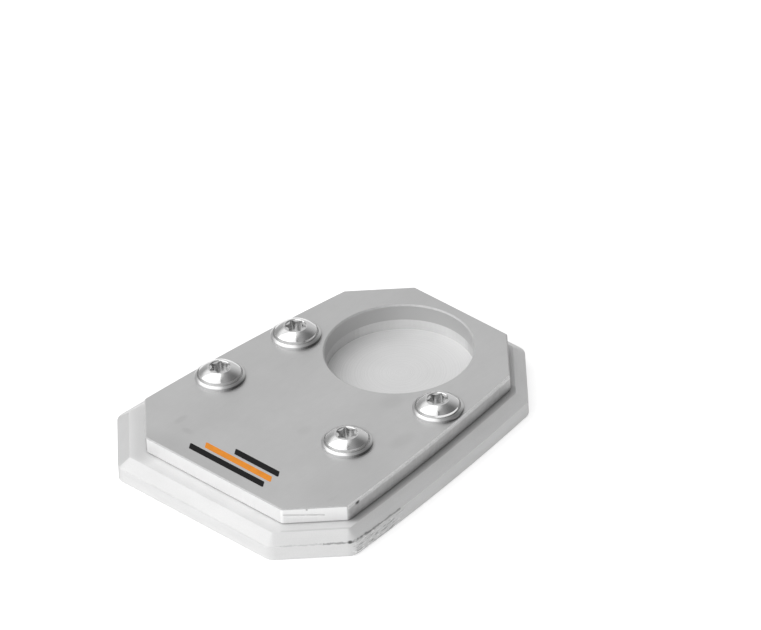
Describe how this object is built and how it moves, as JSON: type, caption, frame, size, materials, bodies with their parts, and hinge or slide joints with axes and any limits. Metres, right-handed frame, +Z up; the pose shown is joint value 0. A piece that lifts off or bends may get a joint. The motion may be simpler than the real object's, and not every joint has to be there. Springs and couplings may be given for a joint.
{
  "type": "kickstand foot enlarger",
  "caption": "Tapered aluminium base plate with a steel top plate screwed on, which widens the standing area of a motorbike side stand's foot.",
  "frame": {"origin": "centre of the base plate's underside, on the ground", "axes": "+X along the plates, from the wide end to the narrow end with the round opening; +Y to the left; +Z up, out of the opening's mouth"},
  "size_m": [0.1076, 0.0866, 0.0151],
  "materials": {
    "base_plate": "milled, satin",
    "top_plate": "fine brushed stainless steel",
    "plate_screws": "bright polished stainless steel"
  },
  "bodies": {
    "root": {"base_plate": "base_plate", "top_plate": "top_plate", "plate_screws": "plate_screws"}
  },
  "joints": []
}
